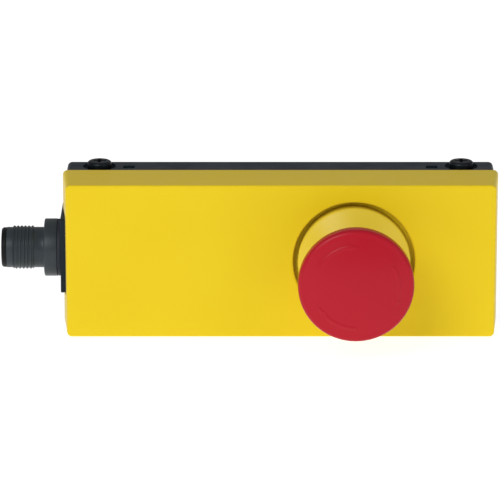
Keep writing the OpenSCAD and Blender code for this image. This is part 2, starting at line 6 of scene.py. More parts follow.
import bmesh
import bpy
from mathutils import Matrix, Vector


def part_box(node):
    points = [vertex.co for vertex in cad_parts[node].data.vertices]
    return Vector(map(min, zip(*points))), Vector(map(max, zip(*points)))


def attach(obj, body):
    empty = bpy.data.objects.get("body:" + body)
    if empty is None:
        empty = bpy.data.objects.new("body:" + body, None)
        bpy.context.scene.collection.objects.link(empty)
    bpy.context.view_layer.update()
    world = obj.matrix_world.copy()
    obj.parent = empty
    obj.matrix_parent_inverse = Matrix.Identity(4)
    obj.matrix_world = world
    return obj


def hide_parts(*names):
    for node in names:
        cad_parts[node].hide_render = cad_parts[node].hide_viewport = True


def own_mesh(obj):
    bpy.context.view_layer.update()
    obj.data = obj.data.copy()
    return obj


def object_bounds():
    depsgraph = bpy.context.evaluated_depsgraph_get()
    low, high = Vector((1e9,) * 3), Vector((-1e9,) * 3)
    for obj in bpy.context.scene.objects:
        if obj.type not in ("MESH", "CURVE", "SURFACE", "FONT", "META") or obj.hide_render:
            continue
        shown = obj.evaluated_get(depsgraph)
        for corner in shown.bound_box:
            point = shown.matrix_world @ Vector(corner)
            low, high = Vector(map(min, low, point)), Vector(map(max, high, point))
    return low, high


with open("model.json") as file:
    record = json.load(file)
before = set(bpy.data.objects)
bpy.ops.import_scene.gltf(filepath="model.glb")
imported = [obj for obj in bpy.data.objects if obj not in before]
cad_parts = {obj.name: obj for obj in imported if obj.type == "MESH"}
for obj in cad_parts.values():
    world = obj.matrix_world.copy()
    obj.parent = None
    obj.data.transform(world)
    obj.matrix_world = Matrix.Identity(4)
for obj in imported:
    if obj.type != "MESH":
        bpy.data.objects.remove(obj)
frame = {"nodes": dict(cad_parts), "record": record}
cad_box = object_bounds()

# ---------------------------------------------------------------------------------------
# Places. Lengths are in millimetres, worked out as if the housing lay on its back:
# x along it, v up the wall, w out from the wall. place() turns them into the row frame.
# ---------------------------------------------------------------------------------------
MM = 0.001


def place(x, v, w):
    return Vector((x, -w, v)) * MM


def span(node):
    """Lowest and highest (x, v, w) of a CAD node, in millimetres."""
    lo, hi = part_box(node)
    return (Vector((lo.x, lo.z, -hi.y)) / MM, Vector((hi.x, hi.z, -lo.y)) / MM)


cover_lo, cover_hi = span("front_cover")
base_lo, base_hi = span("base_tray")
cap_lo, cap_hi = span("mushroom_cap")
collar_lo, collar_hi = span("head_collar")
shell_lo, shell_hi = span("connector_shell")
seal_lo = span("connector_seal")[0]

FACE_W = cover_hi.z                                  # front face of the housing
BUTTON_X = (cap_lo.x + cap_hi.x) / 2
CAP_R = (cap_hi.x - cap_lo.x) / 2
COLLAR_R = (collar_hi.x - collar_lo.x) / 2
PLUG_W = (shell_lo.z + shell_hi.z) / 2               # plug axis above the wall
FLANGE_R = (shell_hi.z - shell_lo.z) / 2
PLATE_OUT = -base_lo.x                               # end plate's outer face, to the left
SEAL_OUT = -seal_lo.x
TIP_OUT = -shell_lo.x

BASE_L = 118.0
BASE_H = base_hi.y - base_lo.y
BASE_D = 10.75
BASE_FLOOR = 2
COVER_REAR_L = cover_hi.x - cover_lo.x
COVER_REAR_H = cover_hi.y - cover_lo.y
COVER_FRONT_L = BASE_L - 0.8                         # the ends taper a little towards the front
COVER_FRONT_H = BASE_H
CAVITY_L = BASE_L - 4.4
CAVITY_H = BASE_H - 4.2
CAVITY_W = FACE_W - 2.5                              # inner side of the cover's front wall
CORNER_R = 1.3
RECESS_R = 16.6
RECESS_W = FACE_W - 3
SLEEVE_HOLE_R = 11.15
PLATE_H = 21.0
PLATE_TOP = 21.1
NOTCH_GAP = 0.7                                      # between the end plate and the cover's notch
SCREW_X = 50.0
SCREW_W = 5.0
SCREW_HOLE_R = 1.95
COUNTERBORE_R = 4.5
COUNTERBORE_DEPTH = 1
MOUNT_X = 43
MOUNT_HOLE_R = 2.25
MOUNT_BOSS_R = 5.5
HOOK_X = 41.8                                        # the cover's hooks and the base's pockets

# ---------------------------------------------------------------------------------------
# Mesh helpers
# ---------------------------------------------------------------------------------------


def finish_piece(bm, name, sharp_deg=38):
    """Turns a bmesh into an object with clean normals; edges steeper than sharp_deg stay crisp."""
    bmesh.ops.remove_doubles(bm, verts=bm.verts, dist=1e-7)
    bmesh.ops.recalc_face_normals(bm, faces=bm.faces)
    mesh = bpy.data.meshes.new(name)
    bm.to_mesh(mesh)
    bm.free()
    piece = bpy.data.objects.new(name, mesh)
    bpy.context.scene.collection.objects.link(piece)
    soften(piece, sharp_deg)
    return piece


def soften(piece, sharp_deg=38):
    piece.data.polygons.foreach_set("use_smooth", [True] * len(piece.data.polygons))
    piece.data.set_sharp_from_angle(angle=radians(sharp_deg))


def fillet(points, steps=5):
    """Profile of (a, b, radius) corners as a list of points, each corner rounded with an arc."""
    flat = [Vector(p[:2]) for p in points]
    radii = [p[2] if len(p) > 2 else 0 for p in points]
    out = []
    for i, (p, r) in enumerate(zip(flat, radii)):
        if not r:
            out.append(p)
            continue
        u = flat[i - 1] - p
        v = flat[(i + 1) % len(flat)] - p
        half = u.angle(v) / 2
        cut = min(r / tan(half), 0.49 * u.length, 0.49 * v.length)
        r = cut * tan(half)
        u.normalize()
        v.normalize()
        centre = p + (u + v).normalized() * (r / sin(half))
        a, b = p + u * cut - centre, p + v * cut - centre
        turn = a.angle_signed(b)
        for k in range(steps + 1):
            t = -turn * k / steps
            out.append(centre + Vector((a.x * cos(t) - a.y * sin(t), a.x * sin(t) + a.y * cos(t))))
    return out


def flare(r, top, lip):
    """The end of a cutter that leaves a rounded rim of radius lip around a hole of radius r."""
    arc = [(r + lip * (1 - cos(radians(a))), top - lip + lip * sin(radians(a)))
           for a in range(15, 91, 15)]
    return arc + [(r + lip, top + 2)]


def about_button(r, angle, w):
    return place(BUTTON_X + r * cos(angle), r * sin(angle), w)


def about_plug(r, angle, out):
    return place(-out, r * cos(angle), PLUG_W + r * sin(angle))


def upright(x, w):
    """Places a lathe's axis up the wall, at x along the housing and w out from the wall."""
    return lambda r, angle, v: place(x + r * cos(angle), v, w + r * sin(angle))


def outward(x, v):
    """Places a lathe's axis out from the wall."""
    return lambda r, angle, w: place(x + r * cos(angle), v + r * sin(angle), w)


def crosswise(r, angle, x):
    """Places a lathe's axis along the latch pins, through the button's axis."""
    return place(BUTTON_X + x, r * cos(angle), LATCH_W + r * sin(angle))


def lathe_bm(profile, put, segments=96, closed=True, relief=None):
    """Revolves (radius, height) points. relief(r, h, angle) may return a changed radius."""
    bm = bmesh.new()
    rings = []
    for r, h in profile:
        if r < 1e-6:
            rings.append([bm.verts.new(put(0, 0, h))] * segments)
            continue
        ring = []
        for k in range(segments):
            angle = tau * k / segments
            ring.append(bm.verts.new(put(relief(r, h, angle) if relief else r, angle, h)))
        rings.append(ring)
    pairs = list(zip(rings, rings[1:])) + ([(rings[-1], rings[0])] if closed else [])
    for a, b in pairs:
        for k in range(segments):
            j = (k + 1) % segments
            corners = list(dict.fromkeys((a[k], a[j], b[j], b[k])))
            if len(corners) > 2:
                bm.faces.new(corners)
    return bm


def lathe(name, profile, put, segments=96, closed=True, relief=None, sharp_deg=38):
    return finish_piece(lathe_bm(profile, put, segments, closed, relief), name, sharp_deg)


def rounded_loop(length, height, radius, steps=6):
    """Points of a rectangle with round corners, as (x, v)."""
    out = []
    for sx, sv, start in ((1, 1, 0), (-1, 1, 90), (-1, -1, 180), (1, -1, 270)):
        for k in range(steps + 1):
            a = radians(start + 90 * k / steps)
            out.append((sx * (length / 2 - radius) + radius * cos(a),
                        sv * (height / 2 - radius) + radius * sin(a)))
    return out


def loft_bm(layers, centre=(0, 0), put=place):
    """Closed solid through rounded rectangles, each (length, height, corner radius, w)."""
    bm = bmesh.new()
    loops = [[bm.verts.new(put(x + centre[0], v + centre[1], w))
              for x, v in rounded_loop(length, height, radius)]
             for length, height, radius, w in layers]
    for a, b in zip(loops, loops[1:]):
        for k in range(len(a)):
            j = (k + 1) % len(a)
            bm.faces.new((a[k], a[j], b[j], b[k]))
    bm.faces.new(loops[0])
    bm.faces.new(list(reversed(loops[-1])))
    return bm


def soft_layers(length, height, corner, w0, w1, edge0, edge1, steps=4):
    """Layers of a block whose edges at w0 and w1 are rounded with radii edge0 and edge1."""
    layers = []
    for w_edge, edge, inward in ((w0, edge0, 1), (w1, edge1, -1)):
        turn = []
        for k in range(steps + 1):
            a = radians(90 * k / steps)
            inset = edge * (1 - sin(a))
            turn.append((length - 2 * inset, height - 2 * inset, max(corner - inset, 0.05),
                         w_edge + inward * edge * (1 - cos(a))))
        layers += turn if inward == 1 else list(reversed(turn))
    return layers


def soft_block_bm(x0, x1, v0, v1, w0, w1, edge=0.2, corner=0.3):
    return loft_bm(soft_layers(x1 - x0, v1 - v0, corner, w0, w1, edge, edge, 3),
                   ((x0 + x1) / 2, (v0 + v1) / 2))


def sideways_block_bm(x0, x1, v0, v1, w0, w1, edge=0.2, corner=0.3):
    """A soft block whose round corners are seen along the housing's length."""
    put = lambda a, b, h: place(h, a, b)
    return loft_bm(soft_layers(v1 - v0, w1 - w0, corner, x0, x1, edge, edge, 3),
                   ((v0 + v1) / 2, (w0 + w1) / 2), put)


def upward_block_bm(x0, x1, v0, v1, w0, w1, edge=0.2, corner=0.3):
    """A soft block whose round corners are seen along the housing's height."""
    put = lambda a, b, h: place(a, h, b)
    return loft_bm(soft_layers(x1 - x0, w1 - w0, corner, v0, v1, edge, edge, 3),
                   ((x0 + x1) / 2, (w0 + w1) / 2), put)


def combine(piece, tool_bms, operation):
    """Cuts separate tools from a piece, or joins them to it, one after the other."""
    for bm in tool_bms:
        tool = finish_piece(bm, "tool")
        step = piece.modifiers.new("step", "BOOLEAN")
        step.object, step.operation, step.solver = tool, operation, "EXACT"
        graph = bpy.context.evaluated_depsgraph_get()
        mesh = bpy.data.meshes.new_from_object(piece.evaluated_get(graph))
        piece.modifiers.clear()
        piece.data = mesh
        bpy.data.objects.remove(tool)
    soften(piece)
    weigh = piece.modifiers.new("weigh", "WEIGHTED_NORMAL")
    weigh.keep_sharp = True
    return piece


# ---------------------------------------------------------------------------------------
# Materials
# ---------------------------------------------------------------------------------------


def linear(r, g, b):
    """sRGB 0 to 1 as the linear colour that shaders take."""
    return tuple(c / 12.92 if c <= 0.04045 else ((c + 0.055) / 1.055) ** 2.4
                 for c in (r, g, b)) + (1,)


class Nodes:
    """A material's node tree with short calls."""

    def __init__(self, name):
        self.material = bpy.data.materials.new(name)
        self.material.use_nodes = True
        self.tree = self.material.node_tree
        self.shader = self.tree.nodes["Principled BSDF"]
        self.coords = self.tree.nodes.new("ShaderNodeTexCoord").outputs["Object"]

    def link(self, a, b):
        self.tree.links.new(a, b)

    def noise(self, scale, detail=3, rough=0.5, coords=None):
        node = self.tree.nodes.new("ShaderNodeTexNoise")
        node.inputs["Scale"].default_value = scale
        node.inputs["Detail"].default_value = detail
        node.inputs["Roughness"].default_value = rough
        self.link(coords or self.coords, node.inputs["Vector"])
        return node.outputs["Fac"]

    def stretch(self, x, y, z):
        node = self.tree.nodes.new("ShaderNodeMapping")
        node.inputs["Scale"].default_value = (x, y, z)
        self.link(self.coords, node.inputs["Vector"])
        return node.outputs["Vector"]

    def remap(self, value, lo, hi, to_lo, to_hi):
        node = self.tree.nodes.new("ShaderNodeMapRange")
        for key, number in zip(("From Min", "From Max", "To Min", "To Max"), (lo, hi, to_lo, to_hi)):
            node.inputs[key].default_value = number
        self.link(value, node.inputs["Value"])
        return node.outputs["Result"]

    def mix(self, factor, a, b):
        node = self.tree.nodes.new("ShaderNodeMix")
        node.data_type = "RGBA"
        self.link(factor, node.inputs[0])
        for socket, value in ((node.inputs[6], a), (node.inputs[7], b)):
            if isinstance(value, tuple):
                socket.default_value = value
            else:
                self.link(value, socket)
        return node.outputs[2]

    def bump(self, height, strength, distance, after=None):
        node = self.tree.nodes.new("ShaderNodeBump")
        node.inputs["Strength"].default_value = strength
        node.inputs["Distance"].default_value = distance
        self.link(height, node.inputs["Height"])
        if after:
            self.link(after, node.inputs["Normal"])
        return node.outputs["Normal"]

    def set(self, key, value):
        socket = self.shader.inputs[key]
        if isinstance(value, bpy.types.NodeSocket):
            self.link(value, socket)
        else:
            socket.default_value = value


def moulded(name, tone, other_tone, gloss=(0.38, 0.48), grain=0.35, grain_scale=2600, specular=0.5,
            sheen=0.0):
    """Moulded plastic: two close tones in soft clouds, an eroded grain and slightly uneven gloss."""
    n = Nodes(name)
    clouds = n.remap(n.noise(38, 4), 0.3, 0.7, 0, 1)
    n.set("Base Color", n.mix(clouds, tone, other_tone))
    n.set("Roughness", n.remap(n.noise(160, 3), 0.3, 0.7, *gloss))
    fine = n.bump(n.noise(grain_scale, 2), grain, 0.00002)
    n.set("Normal", n.bump(n.noise(220, 2), 0.12, 0.00006, fine))
    n.set("Specular IOR Level", specular)
    n.set("Sheen Weight", sheen)
    return n.material


def metal(name, tone, other_tone, gloss=(0.22, 0.38), brushed=(900, 60, 900)):
    """Drawn or turned metal: fine streaks along one way, tarnish in clouds."""
    n = Nodes(name)
    streaks = n.noise(1, 4, 0.6, n.stretch(*brushed))
    n.set("Base Color", n.mix(n.remap(n.noise(300, 4), 0.3, 0.7, 0, 1), tone, other_tone))
    n.set("Roughness", n.remap(streaks, 0.3, 0.7, *gloss))
    n.set("Normal", n.bump(streaks, 0.15, 0.00001))
    n.set("Metallic", 1.0)
    return n.material


def board_material():
    """Green solder mask over copper tracks."""
    n = Nodes("solder_mask")
    tracks = n.tree.nodes.new("ShaderNodeTexBrick")
    tracks.inputs["Scale"].default_value = 260
    tracks.inputs["Mortar Size"].default_value = 0.06
    n.link(n.coords, tracks.inputs["Vector"])
    factor = n.remap(tracks.outputs["Fac"], 0, 1, 0, 0.7)
    n.set("Base Color", n.mix(factor, linear(0.03, 0.30, 0.16), linear(0.07, 0.42, 0.22)))
    n.set("Roughness", n.remap(n.noise(400), 0.3, 0.7, 0.22, 0.34))
    n.set("Normal", n.bump(tracks.outputs["Fac"], 0.3, 0.00004))
    return n.material


MATERIALS = {
    "yellow_plastic": moulded("yellow_plastic", linear(0.925, 0.800, 0.075), linear(0.935, 0.812, 0.095),
                              gloss=(0.40, 0.50), specular=0.16, sheen=0.1),
    # The collar's paler, bluer yellow than the cover's is painted reflection of the bright surroundings
    # on its upward-facing cone.
    "collar_plastic": moulded("collar_plastic", linear(0.925, 0.815, 0.20), linear(0.935, 0.825, 0.23),
                              gloss=(0.30, 0.40), grain=0.15, specular=0.3),
    "base_plastic": moulded("base_plastic", linear(0.10, 0.14, 0.175), linear(0.12, 0.165, 0.205),
                            gloss=(0.36, 0.48), grain=0.6, specular=0.12),
    "plug_plastic": moulded("plug_plastic", linear(0.16, 0.195, 0.22), linear(0.19, 0.225, 0.25),
                            gloss=(0.34, 0.44), grain=0.2, specular=0.35),
    "insert_plastic": moulded("insert_plastic", linear(0.05, 0.055, 0.065), linear(0.08, 0.085, 0.095),
                              specular=0.15),
    "cap_plastic": moulded("cap_plastic", linear(0.705, 0.07, 0.145), linear(0.72, 0.08, 0.16),
                           gloss=(0.28, 0.36), grain=0.12, specular=0.2),
    "stem_plastic": moulded("stem_plastic", linear(0.14, 0.14, 0.15), linear(0.18, 0.18, 0.19)),
    "contact_plastic": moulded("contact_plastic", linear(0.80, 0.80, 0.78), linear(0.86, 0.86, 0.84)),
    "dark_screw": metal("dark_screw", linear(0.14, 0.16, 0.18), linear(0.19, 0.21, 0.23),
                        gloss=(0.38, 0.5)),
    "steel": metal("steel", linear(0.66, 0.67, 0.69), linear(0.76, 0.77, 0.78)),
    "brass": metal("brass", linear(0.82, 0.68, 0.36), linear(0.76, 0.60, 0.28)),
    "rubber": moulded("rubber", linear(0.10, 0.12, 0.17), linear(0.13, 0.15, 0.20),
                      gloss=(0.55, 0.7), grain=0.4),
    "board": board_material(),
    "terminal_green": moulded("terminal_green", linear(0.10, 0.55, 0.25), linear(0.13, 0.60, 0.28)),
    "component_black": moulded("component_black", linear(0.12, 0.12, 0.13), linear(0.16, 0.16, 0.17)),
    "lead_brown": moulded("lead_brown", linear(0.36, 0.20, 0.11), linear(0.42, 0.24, 0.14)),
    "lead_white": moulded("lead_white", linear(0.88, 0.88, 0.86), linear(0.94, 0.94, 0.92)),
    "lead_blue": moulded("lead_blue", linear(0.12, 0.28, 0.68), linear(0.16, 0.33, 0.74)),
    "lead_black": moulded("lead_black", linear(0.08, 0.08, 0.08), linear(0.12, 0.12, 0.12)),
    "lead_grey": moulded("lead_grey", linear(0.50, 0.51, 0.52), linear(0.56, 0.57, 0.58)),
    "lead_red": moulded("lead_red", linear(0.78, 0.10, 0.08), linear(0.84, 0.14, 0.12)),
    "lead_green": moulded("lead_green", linear(0.10, 0.52, 0.18), linear(0.14, 0.58, 0.22)),
}


def dress(piece, slot_name, body, *nodes):
    """Gives a new piece its material, slot and body, and hides the CAD nodes it stands for."""
    piece.data.materials.clear()
    piece.data.materials.append(MATERIALS[slot_name])
    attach(piece, body)
    if nodes:
        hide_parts(*nodes)
    return piece


# ---------------------------------------------------------------------------------------
# Camera, floor and lights
# ---------------------------------------------------------------------------------------
VIEW_ELEVATION = radians(16)
VIEW_DISTANCE = 1.1
FIELD_WIDTH = 0.1364                    # what the picture's width shows at the front face
AIM = Vector((-0.0084, -FACE_W * MM, 0.0033))
SENSOR_WIDTH = 36
FLOOR_GAP = 0.0002                      # keeps the sheet just below the housing
FLOOR_GLOW = 0.87                       # makes the sheet white right up to the object
WORLD_STRENGTH = 0.34


def make_camera():
    data = bpy.data.cameras.new("camera")
    data.sensor_width = SENSOR_WIDTH
    data.lens = SENSOR_WIDTH * VIEW_DISTANCE / FIELD_WIDTH
    data.clip_end = 20
    camera = bpy.data.objects.new("camera", data)
    bpy.context.scene.collection.objects.link(camera)
    camera.location = AIM + VIEW_DISTANCE * Vector((0, -cos(VIEW_ELEVATION), sin(VIEW_ELEVATION)))
    camera.rotation_euler = (pi / 2 - VIEW_ELEVATION, 0, 0)
    bpy.context.scene.camera = camera


def make_floor():
    """A wide sheet under the housing that lights itself, for a white background."""
    bm = bmesh.new()
    bmesh.ops.create_grid(bm, x_segments=8, y_segments=8, size=4)
    sheet = finish_piece(bm, "floor")
    sheet.location.z = cad_box[0][2] - FLOOR_GAP
    n = Nodes("floor_sheet")
    n.set("Base Color", n.mix(n.noise(3), linear(0.62, 0.62, 0.62), linear(0.64, 0.64, 0.64)))
    n.set("Roughness", 0.7)
    n.set("Emission Color", (1, 1, 1, 1))
    n.set("Emission Strength", FLOOR_GLOW)
    sheet.data.materials.append(n.material)


def make_light(name, location, size, power, aim=(0, 0, 0)):
    data = bpy.data.lights.new(name, "AREA")
    data.shape = "RECTANGLE"
    data.size, data.size_y = size
    data.energy = power
    lamp = bpy.data.objects.new(name, data)
    bpy.context.scene.collection.objects.link(lamp)
    lamp.location = location
    lamp.rotation_euler = (Vector(aim) - Vector(location)).to_track_quat("-Z", "Y").to_euler()


def make_stage():
    make_floor()
    scene = bpy.context.scene
    scene.view_settings.view_transform = "Standard"
    world = bpy.data.worlds.new("studio")
    world.use_nodes = True
    world.node_tree.nodes["Background"].inputs["Color"].default_value = (1, 1, 1, 1)
    world.node_tree.nodes["Background"].inputs["Strength"].default_value = WORLD_STRENGTH
    scene.world = world
    make_light("key", (-0.5, -0.95, 0.7), (0.6, 0.6), 5.9)
    make_light("fill", (1.0, -0.9, 0.5), (0.5, 0.5), 1.3)


# ---------------------------------------------------------------------------------------
# Housing
# ---------------------------------------------------------------------------------------


def make_cover():
    """Yellow front cover: a drafted box with soft edges, the round recess and the plug notch."""
    edge, rim, lip = 0.45, 0.3, 0.5
    boss_wall, boss_depth = 1.25, 2
    hook_half, hook_lo, hook_hi = 2.6, -20.5, -18.0
    layers = [(COVER_REAR_L - 2 * rim * (1 - sin(a)), COVER_REAR_H - 2 * rim * (1 - sin(a)),
               CORNER_R, BASE_D + rim * (1 - cos(a)))
              for a in (radians(90 * k / 4) for k in range(5))]
    layers += [(COVER_FRONT_L - 2 * edge * (1 - cos(a)), COVER_FRONT_H - 2 * edge * (1 - cos(a)),
                CORNER_R - 0.6 * edge * (1 - cos(a)), FACE_W - edge * (1 - sin(a)))
               for a in (radians(90 * k / 6) for k in range(7))]
    cover = finish_piece(loft_bm(layers), "cover")
    cavity = loft_bm([(CAVITY_L, CAVITY_H, 1.0, BASE_D - 2), (CAVITY_L, CAVITY_H, 1.0, CAVITY_W)])
    boss_r = RECESS_R + boss_wall
    boss_w = RECESS_W - boss_depth
    boss = lathe_bm([(0, boss_w), (boss_r, boss_w), (boss_r, CAVITY_W + 0.4),
                     (0, CAVITY_W + 0.4)], about_button, closed=False)
    recess = lathe_bm(fillet([(0, RECESS_W), (RECESS_R, RECESS_W, 0.15), (RECESS_R, FACE_W - lip)])
                      + flare(RECESS_R, FACE_W, lip) + [(0, FACE_W + 2)], about_button, 128, closed=False)
    hole = lathe_bm([(0, 15), (SLEEVE_HOLE_R, 15), (SLEEVE_HOLE_R, FACE_W + 1), (0, FACE_W + 1)],
                    about_button, closed=False)
    half = PLATE_H / 2 + NOTCH_GAP
    notch = sideways_block_bm(-BASE_L / 2 - 4, -BASE_L / 2 + 3.5, -half, half, BASE_FLOOR,
                              PLATE_TOP + NOTCH_GAP, edge=0.01, corner=0.8)
    combine(cover, [cavity], "DIFFERENCE")
    combine(cover, [boss], "UNION")
    combine(cover, [recess, hole, notch], "DIFFERENCE")
    hooks = [soft_block_bm(s * HOOK_X - hook_half, s * HOOK_X + hook_half, hook_lo, hook_hi, 4.2, 6.4)
             for s in (-1, 1)]
    return dress(combine(cover, hooks, "UNION"), "yellow_plastic", "housing", "front_cover")


def make_base():
    """Black base tray with the plug's end plate, counterbores, pockets and mounting holes."""
    layers = soft_layers(BASE_L, BASE_H, CORNER_R, 0, BASE_D, 0.8, 0.15, 5)
    base = finish_piece(loft_bm(layers), "base")
    both_walls, pocket_half, hook_half, rim = 5.0, 1.6, 3, 0.25
    cavity = loft_bm([(BASE_L - both_walls, BASE_H - both_walls, 0.8, BASE_FLOOR),
                      (BASE_L - both_walls, BASE_H - both_walls, 0.8, BASE_D + 2)])
    half = PLATE_H / 2
    plate = sideways_block_bm(-PLATE_OUT, -BASE_L / 2 + 2.2, -half, half, BASE_FLOOR, PLATE_TOP,
                              edge=0.25, corner=0.9)
    backing = sideways_block_bm(-BASE_L / 2 + 1.5, -BASE_L / 2 + 3.7, -half, half, 1.5, PLATE_TOP,
                                edge=0.1)
    bosses = [lathe_bm([(0, 1), (MOUNT_BOSS_R, 1), (MOUNT_BOSS_R, 3), (0, 3)],
                       outward(s * MOUNT_X, 0), closed=False) for s in (-1, 1)]
    plug_hole = lathe_bm([(0, 50), (6, 50), (6, 65), (0, 65)], about_plug, closed=False)
    top = BASE_H / 2
    tools = [plug_hole]
    for s in (-1, 1):
        tools.append(lathe_bm([(0, -1), (MOUNT_HOLE_R, -1), (MOUNT_HOLE_R, 6), (0, 6)],
                              outward(s * MOUNT_X, 0), 48, closed=False))
        seat = top - COUNTERBORE_DEPTH
        bore = [(0, 12), (SCREW_HOLE_R, 12), (SCREW_HOLE_R, seat), (COUNTERBORE_R, seat),
                (COUNTERBORE_R, top - rim)]
        tools.append(lathe_bm(bore + flare(COUNTERBORE_R, top, rim) + [(0, top + 2)],
                              upright(s * SCREW_X, SCREW_W), 64, closed=False))
        tools.append(upward_block_bm(s * HOOK_X - pocket_half, s * HOOK_X + pocket_half,
                                     top - 1.2, top + 2, 4.8, 7.6, edge=0.02))
        tools.append(upward_block_bm(s * HOOK_X - hook_half, s * HOOK_X + hook_half,
                                     -top - 2, -top + 2.6, 4, 6.8, edge=0.02))
    combine(base, [cavity], "DIFFERENCE")
    combine(base, [backing, plate] + bosses, "UNION")
    return dress(combine(base, tools, "DIFFERENCE"), "base_plastic", "housing", "base_tray")


def make_cover_screws():
    """Two black pan heads with a cross recess, standing in their counterbores."""
    seat, top = BASE_H / 2 - COUNTERBORE_DEPTH, BASE_H / 2 + 1.5
    shank_r, shank_end, head_r = 1.75, 14.6, 3.35
    slot_long, slot_thin, slot_depth = 1.7, 0.45, 1
    profile = fillet([(0, shank_end), (shank_r, shank_end), (shank_r, seat), (head_r, seat, 0.15),
                      (head_r, top, 0.8), (0, top)])
    for side, s in (("left", -1), ("right", 1)):
        screw = lathe("screw_" + side, profile, upright(s * SCREW_X, SCREW_W), 64, closed=False)
        bars = []
        for along_x in (True, False):
            a, b = (slot_long, slot_thin) if along_x else (slot_thin, slot_long)
            bars.append(upward_block_bm(s * SCREW_X - a, s * SCREW_X + a, top - slot_depth, top + 2,
                                        SCREW_W - b, SCREW_W + b, edge=0.02, corner=0.2))
        combine(screw, bars, "DIFFERENCE")
        dress(screw, "dark_screw", "housing", *(["cover_screws"] if side == "left" else []))


# ---------------------------------------------------------------------------------------
# Plug
# ---------------------------------------------------------------------------------------
FLANGE_OUT = SEAL_OUT + 3.6
THREAD_IN = FLANGE_OUT + 3.1
THREAD_OUT = FLANGE_OUT + 8.6
THREAD_R = 6.0
THREAD_DEPTH = 0.32
PITCH = 1.0
RUN_OUT = 0.2                           # how far the relief fades beyond both ends
NECK_R = 5.9                            # shell inside the end plate
UNDERCUT_R = 5.6
SOCKET_R = 4.35
SHELL_IN = 50.6                         # inner end of the shell
PIN_R = 0.5


def thread_relief(r, out, angle):
    """Radius of the M12 x 1 thread, which runs out at both ends."""
    if not THREAD_IN - RUN_OUT <= out <= THREAD_OUT + RUN_OUT:
        return r
    phase = (out / PITCH - angle / tau) % 1
    ridge = 0.5 - 0.5 * cos(tau * phase)
    ends = min(1.0, max(0.0, (out - THREAD_IN + RUN_OUT) / 0.5),
               max(0.0, (THREAD_OUT + RUN_OUT - out) / 0.5))
    return r + THREAD_DEPTH * (ridge - 1) * ends


def make_plug():
    """Plug shell with flange, undercut and thread, its lip darkened as painted shade of the tip end,
    insert, key, seal and pins.
    """
    thread_steps = 72
    outer = fillet([(NECK_R, SHELL_IN), (NECK_R, SEAL_OUT), (FLANGE_R, SEAL_OUT, 0.15),
                    (FLANGE_R, FLANGE_OUT, 0.4), (UNDERCUT_R, FLANGE_OUT, 0.25),
                    (UNDERCUT_R, THREAD_IN - RUN_OUT), (NECK_R, THREAD_IN)])
    thread = [(THREAD_R, THREAD_IN + (THREAD_OUT - THREAD_IN) * k / thread_steps)
              for k in range(thread_steps + 1)]
    lip_in = TIP_OUT - 1.4
    tip = fillet([(THREAD_R, THREAD_OUT), (UNDERCUT_R, THREAD_OUT + 0.15), (UNDERCUT_R, lip_in, 0.1),
                  (SOCKET_R, lip_in, 0.1), (SOCKET_R, SHELL_IN)])[1:]
    shell = lathe("plug_shell", outer + thread + tip, about_plug, 96, relief=thread_relief, sharp_deg=50)
    dress(shell, "plug_plastic", "housing", "connector_shell")
    # The last 1.4 mm of the plug is a separate ring in the insert's near-black plastic: painted shade for
    # the darker tip end.
    lip = lathe("plug_tip_painted_shade", fillet([(SOCKET_R, lip_in), (5.5, lip_in, 0.1), (5.5, TIP_OUT - 0.5, 0.2),
                                    (5.15, TIP_OUT, 0.2), (4.6, TIP_OUT, 0.15),
                                    (SOCKET_R, TIP_OUT - 0.4)]),
                about_plug)
    dress(lip, "insert_plastic", "housing")

    insert_in, insert_out = 53, 67.9
    insert = lathe("plug_insert", fillet([(0, insert_in), (SOCKET_R, insert_in),
                                          (SOCKET_R, insert_out, 0.15), (0, insert_out)]),
                   about_plug, 64, closed=False)
    dress(insert, "insert_plastic", "housing", "connector_insert")
    key_half = 0.45
    key = sideways_block_bm(-73.8, -67.4, 3.7, 4.25, PLUG_W - key_half, PLUG_W + key_half,
                            edge=0.1, corner=0.15)
    dress(finish_piece(key, "plug_key"), "insert_plastic", "housing")

    seal_r = FLANGE_R - 0.05
    seal = lathe("plug_seal", fillet([(THREAD_R, PLATE_OUT), (seal_r, PLATE_OUT, 0.3),
                                      (seal_r, SEAL_OUT, 0.3), (THREAD_R, SEAL_OUT)]), about_plug)
    dress(seal, "rubber", "housing", "connector_seal")

    pin_circle, pin_in, nose_out = 2.75, 49.6, 75.2
    places = [(0, 0)] + [(pin_circle * cos(radians(a)), pin_circle * sin(radians(a)))
                         for a in (45, 135, 225, 315)]
    nose = [(PIN_R * cos(radians(a)), nose_out + PIN_R * sin(radians(a))) for a in range(0, 90, 15)]
    for i, (dw, dv) in enumerate(places):
        put = lambda r, angle, out: place(-out, dv + r * cos(angle), PLUG_W + dw + r * sin(angle))
        pin = lathe(f"plug_pin_{i + 1}", [(0, pin_in), (PIN_R, pin_in)] + nose + [(0, nose_out + PIN_R)],
                    put, 24, closed=False)
        dress(pin, "brass", "housing", *(["connector_pins"] if i == 0 else []))


# ---------------------------------------------------------------------------------------
# Button head
# ---------------------------------------------------------------------------------------
CAP_SHOULDER = cap_hi.z - 2.2
CAP_EDGE = 1.3
LATCH_W = 17.4                          # the latch pins' axis
SLEEVE_R = 10.95
LATCH_GROOVE_R = 10


def dome_height(r):
    """Distance of the cap's domed face from the wall at radius r."""
    a, rise = CAP_R - CAP_EDGE, cap_hi.z - CAP_SHOULDER
    dome_r = (a * a + rise * rise) / (2 * rise)
    return cap_hi.z - dome_r + sqrt(dome_r * dome_r - r * r)


